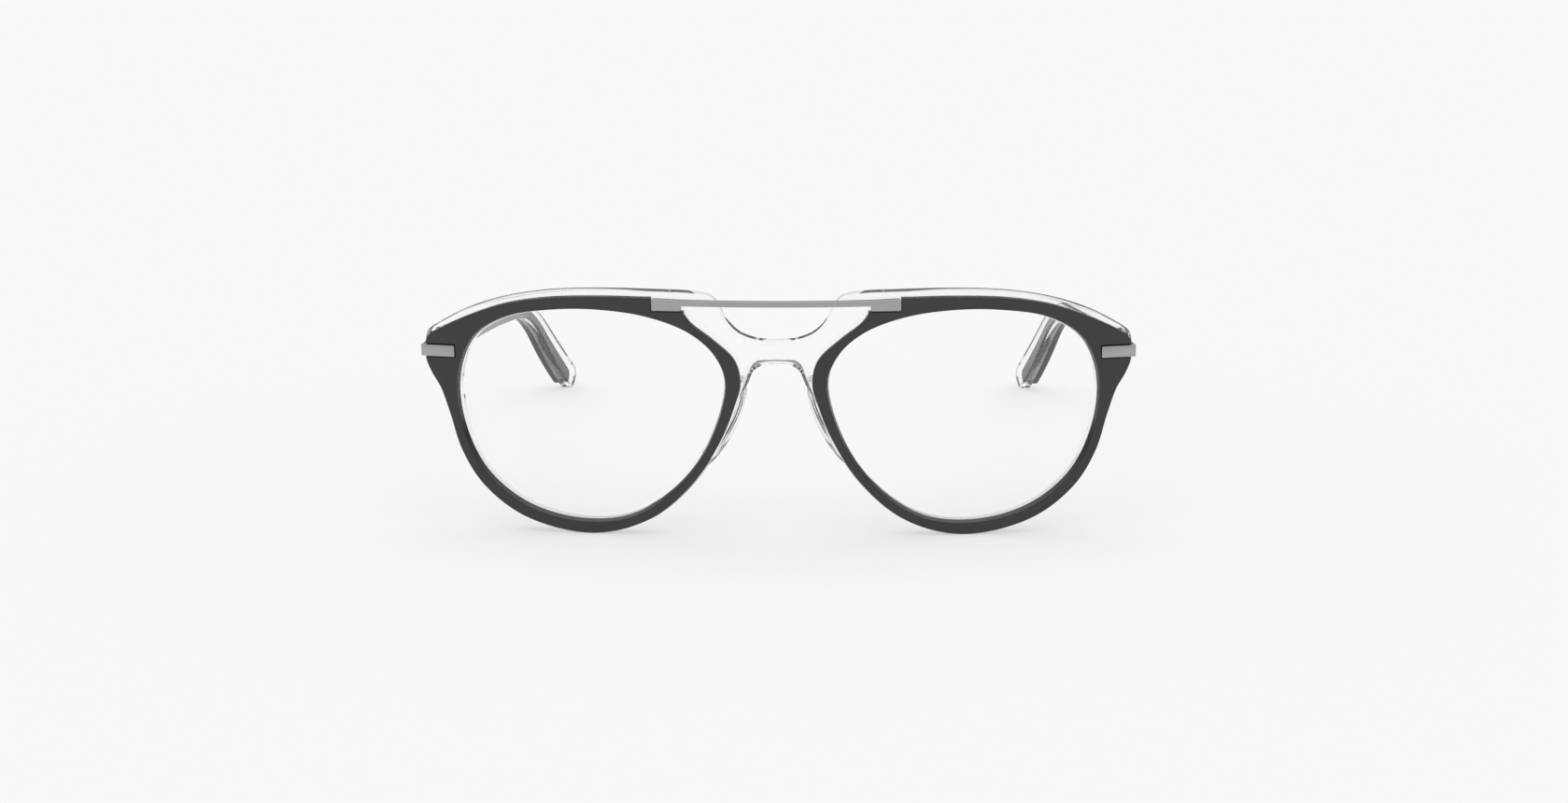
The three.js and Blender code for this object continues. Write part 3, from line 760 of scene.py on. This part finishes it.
def nose_pad():
    """Long drop of clear acetate, flat where it is glued behind the rim."""
    flat_depth = CRYSTAL_BACK + PAD_GLUE
    bm = bmesh.new()
    bmesh.ops.create_uvsphere(bm, u_segments=48, v_segments=36, radius=1.0)
    for v in bm.verts:
        p = v.co * PAD_HALF
        v.co = PAD_CENTRE + Vector((p.x - PAD_SLOPE * p.z + PAD_TURN * p.z * p.z, p.y, p.z))
    everything = bm.verts[:] + bm.edges[:] + bm.faces[:]
    cut = bmesh.ops.bisect_plane(bm, geom=everything, plane_co=(0, flat_depth, 0),
                                 plane_no=(0, -1, 0), clear_outer=True)
    rim = [e for e in cut["geom_cut"] if isinstance(e, bmesh.types.BMEdge)]
    bmesh.ops.holes_fill(bm, edges=rim)
    for v in bm.verts:
        v.co = front_point(*v.co)
    bmesh.ops.recalc_face_normals(bm, faces=bm.faces)
    for f in bm.faces:
        f.smooth = len(f.verts) <= 4
    for e in bm.edges:
        if any(len(f.verts) > 4 for f in e.link_faces):
            e.smooth = False
    mesh = bpy.data.meshes.new("nose_pad_left")
    bm.to_mesh(mesh)
    bm.free()
    add_pair("nose_pad", mesh, FRONT, "clear_acetate", CLEAR, "nose_pad")


# -------------------------------------------------------------------------- arms

def arm_line(s):
    """(y, z, turn) of the arm's centre line, s along it from the hinge axis."""
    arc = BEND_RADIUS * BEND_ANGLE
    turn = min(max((s - BEND_START) / arc, 0.0), 1.0) * BEND_ANGLE
    before = min(s, BEND_START)
    after = max(s - BEND_START - arc, 0.0)
    y = before + BEND_RADIUS * math.sin(turn) + after * math.cos(turn)
    z = -BEND_RADIUS * (1 - math.cos(turn)) - after * math.sin(turn)
    return y, z, turn


def arm_half_height(s):
    slim = smoothstep(s, 0, ARM_SLIM_BY)
    wide = smoothstep(s, BEND_START + 6, ARM_END - 5)
    return ARM_HALF_HINGE - ARM_SLIMMING * slim + ARM_WIDENING * wide


def arm_outline(end, upper, lower):
    """Side outline of an arm layer, set in from the arm's edges, with a round end."""
    def edge(side, inset):
        points = []
        for k in range(ARM_STEPS + 1):
            s = ARM_START + (end - ARM_START) * k / ARM_STEPS
            y, z, turn = arm_line(s)
            reach = side * (arm_half_height(s) - inset(s))
            points.append(Vector((y + reach * math.sin(turn), z + reach * math.cos(turn))))
        return points

    top, bottom = edge(1, upper), edge(-1, lower)
    _, _, turn = arm_line(end)
    middle = (top[-1] + bottom[-1]) / 2
    radius = (top[-1] - bottom[-1]).length / 2
    round_end = []
    for k in range(1, TIP_STEPS):
        angle = math.pi / 2 - math.pi * k / TIP_STEPS
        along, up = radius * TIP_BULGE * math.cos(angle), radius * math.sin(angle)
        round_end.append(Vector((
            middle.x + along * math.cos(turn) + up * math.sin(turn),
            middle.y - along * math.sin(turn) + up * math.cos(turn))))
    return top + round_end + bottom[::-1]


def arm_layers():
    """Clear inner layer with soft edges and the dark layer fused on its outside."""
    def margin(s):
        return CLEAR_MARGIN + CLEAR_MARGIN_GAIN * smoothstep(s, 60, ARM_END)

    clear = arm_outline(ARM_END, lambda s: 0.0, lambda s: 0.0)
    mesh = sheet_mesh("temple_crystal_left", clear, [],
                      round_profile(ARM_INNER, ARM_FUSED, 0.5, 0.12), arm_point)
    add_pair("temple_crystal", mesh, ARMS, "clear_acetate", CLEAR, "temple_crystal")
    dark = arm_outline(ARM_END - CLEAR_TIP, margin, lambda s: CLEAR_BELOW)
    mesh = sheet_mesh("temple_veneer_left", dark, [],
                      round_profile(ARM_SPLIT + 0.1, ARM_OUTER, 0.03, 0.35), arm_point)
    # The dark layer takes the arms' acetate copy, whose lighter colour is painted sheen and top
    # light.
    add_pair("temple_veneer", mesh, ARMS, "dark_acetate", DARK_ARM_PAINTED_SHEEN, "temple_veneer")


# ------------------------------------------------------- carried-over CAD nodes

def finish_cad_node(name, material):
    node = frame["nodes"][name]
    node.data.materials.clear()
    node.data.materials.append(material)


def finish_metalwork():
    """Hinges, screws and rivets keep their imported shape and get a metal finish."""
    for side in ("left", "right"):
        for name in ("front_hinge", "hinge_screw", "front_rivet_lower", "front_rivet_upper",
                     "temple_hinge", "temple_rivet_front", "temple_rivet_rear",
                     "brow_bar_screw"):
            finish_cad_node(f"{name}_{side}", STEEL)


# ------------------------------------------------------------------------- stage

def make_floor():
    """Plain pale paper, lit partly from beneath so that shadows stay faint."""
    mesh = bpy.data.meshes.new("floor")
    size = 6.0
    mesh.from_pydata([(-size, -size, 0), (size, -size, 0), (size, size, 0), (-size, size, 0)],
                     [], [(0, 1, 2, 3)])
    floor = bpy.data.objects.new("floor", mesh)
    bpy.context.scene.collection.objects.link(floor)
    material, nodes, links, shader = new_material("paper")
    grain = noise_node(nodes, links, 300.0, 3.0)
    colour = tint(nodes, links, grain, (0.438, 0.438, 0.445), (0.442, 0.442, 0.449))
    links.new(colour.outputs["Color"], shader.inputs["Base Color"])
    shader.inputs["Emission Color"].default_value = (0.985, 0.985, 1.0, 1)
    shader.inputs["Emission Strength"].default_value = 0.505
    material.cycles.emission_sampling = "NONE"
    shader.inputs["Roughness"].default_value = 1.0
    shader.inputs["Specular IOR Level"].default_value = 0.0
    mesh.materials.append(material)


def make_light():
    """A white light tent that is dim near the horizon, where its walls end."""
    world = bpy.data.worlds.new("tent")
    world.use_nodes = True
    bpy.context.scene.world = world
    nodes, links = world.node_tree.nodes, world.node_tree.links
    direction = nodes.new("ShaderNodeTexCoord")
    split = nodes.new("ShaderNodeSeparateXYZ")
    ramp = nodes.new("ShaderNodeValToRGB")
    stops = ramp.color_ramp.elements
    stops[0].position = 0.12
    stops[0].color = (0.2, 0.2, 0.205, 1)
    stops[1].position = 0.75
    stops[1].color = (1, 1, 1, 1)
    stops.new(0.45).color = (0.6, 0.6, 0.605, 1)
    links.new(direction.outputs["Generated"], split.inputs["Vector"])
    links.new(split.outputs["Z"], ramp.inputs["Fac"])
    links.new(ramp.outputs["Color"], nodes["Background"].inputs["Color"])
    nodes["Background"].inputs["Strength"].default_value = 1.24


def set_view():
    """Plain colours, and enough bounces for light to pass the clear layers."""
    scene = bpy.context.scene
    scene.view_settings.view_transform = "Standard"
    scene.view_settings.look = "None"
    scene.cycles.max_bounces = 32
    scene.cycles.transmission_bounces = 32
    scene.cycles.glossy_bounces = 12
    scene.cycles.diffuse_bounces = 6
    scene.cycles.caustics_reflective = True
    scene.cycles.caustics_refractive = True


front_crystal()
rim_veneer()
lens()
brow_bar()
endpiece_trim()
nose_pad()
arm_layers()
finish_metalwork()
make_floor()
make_light()
set_view()
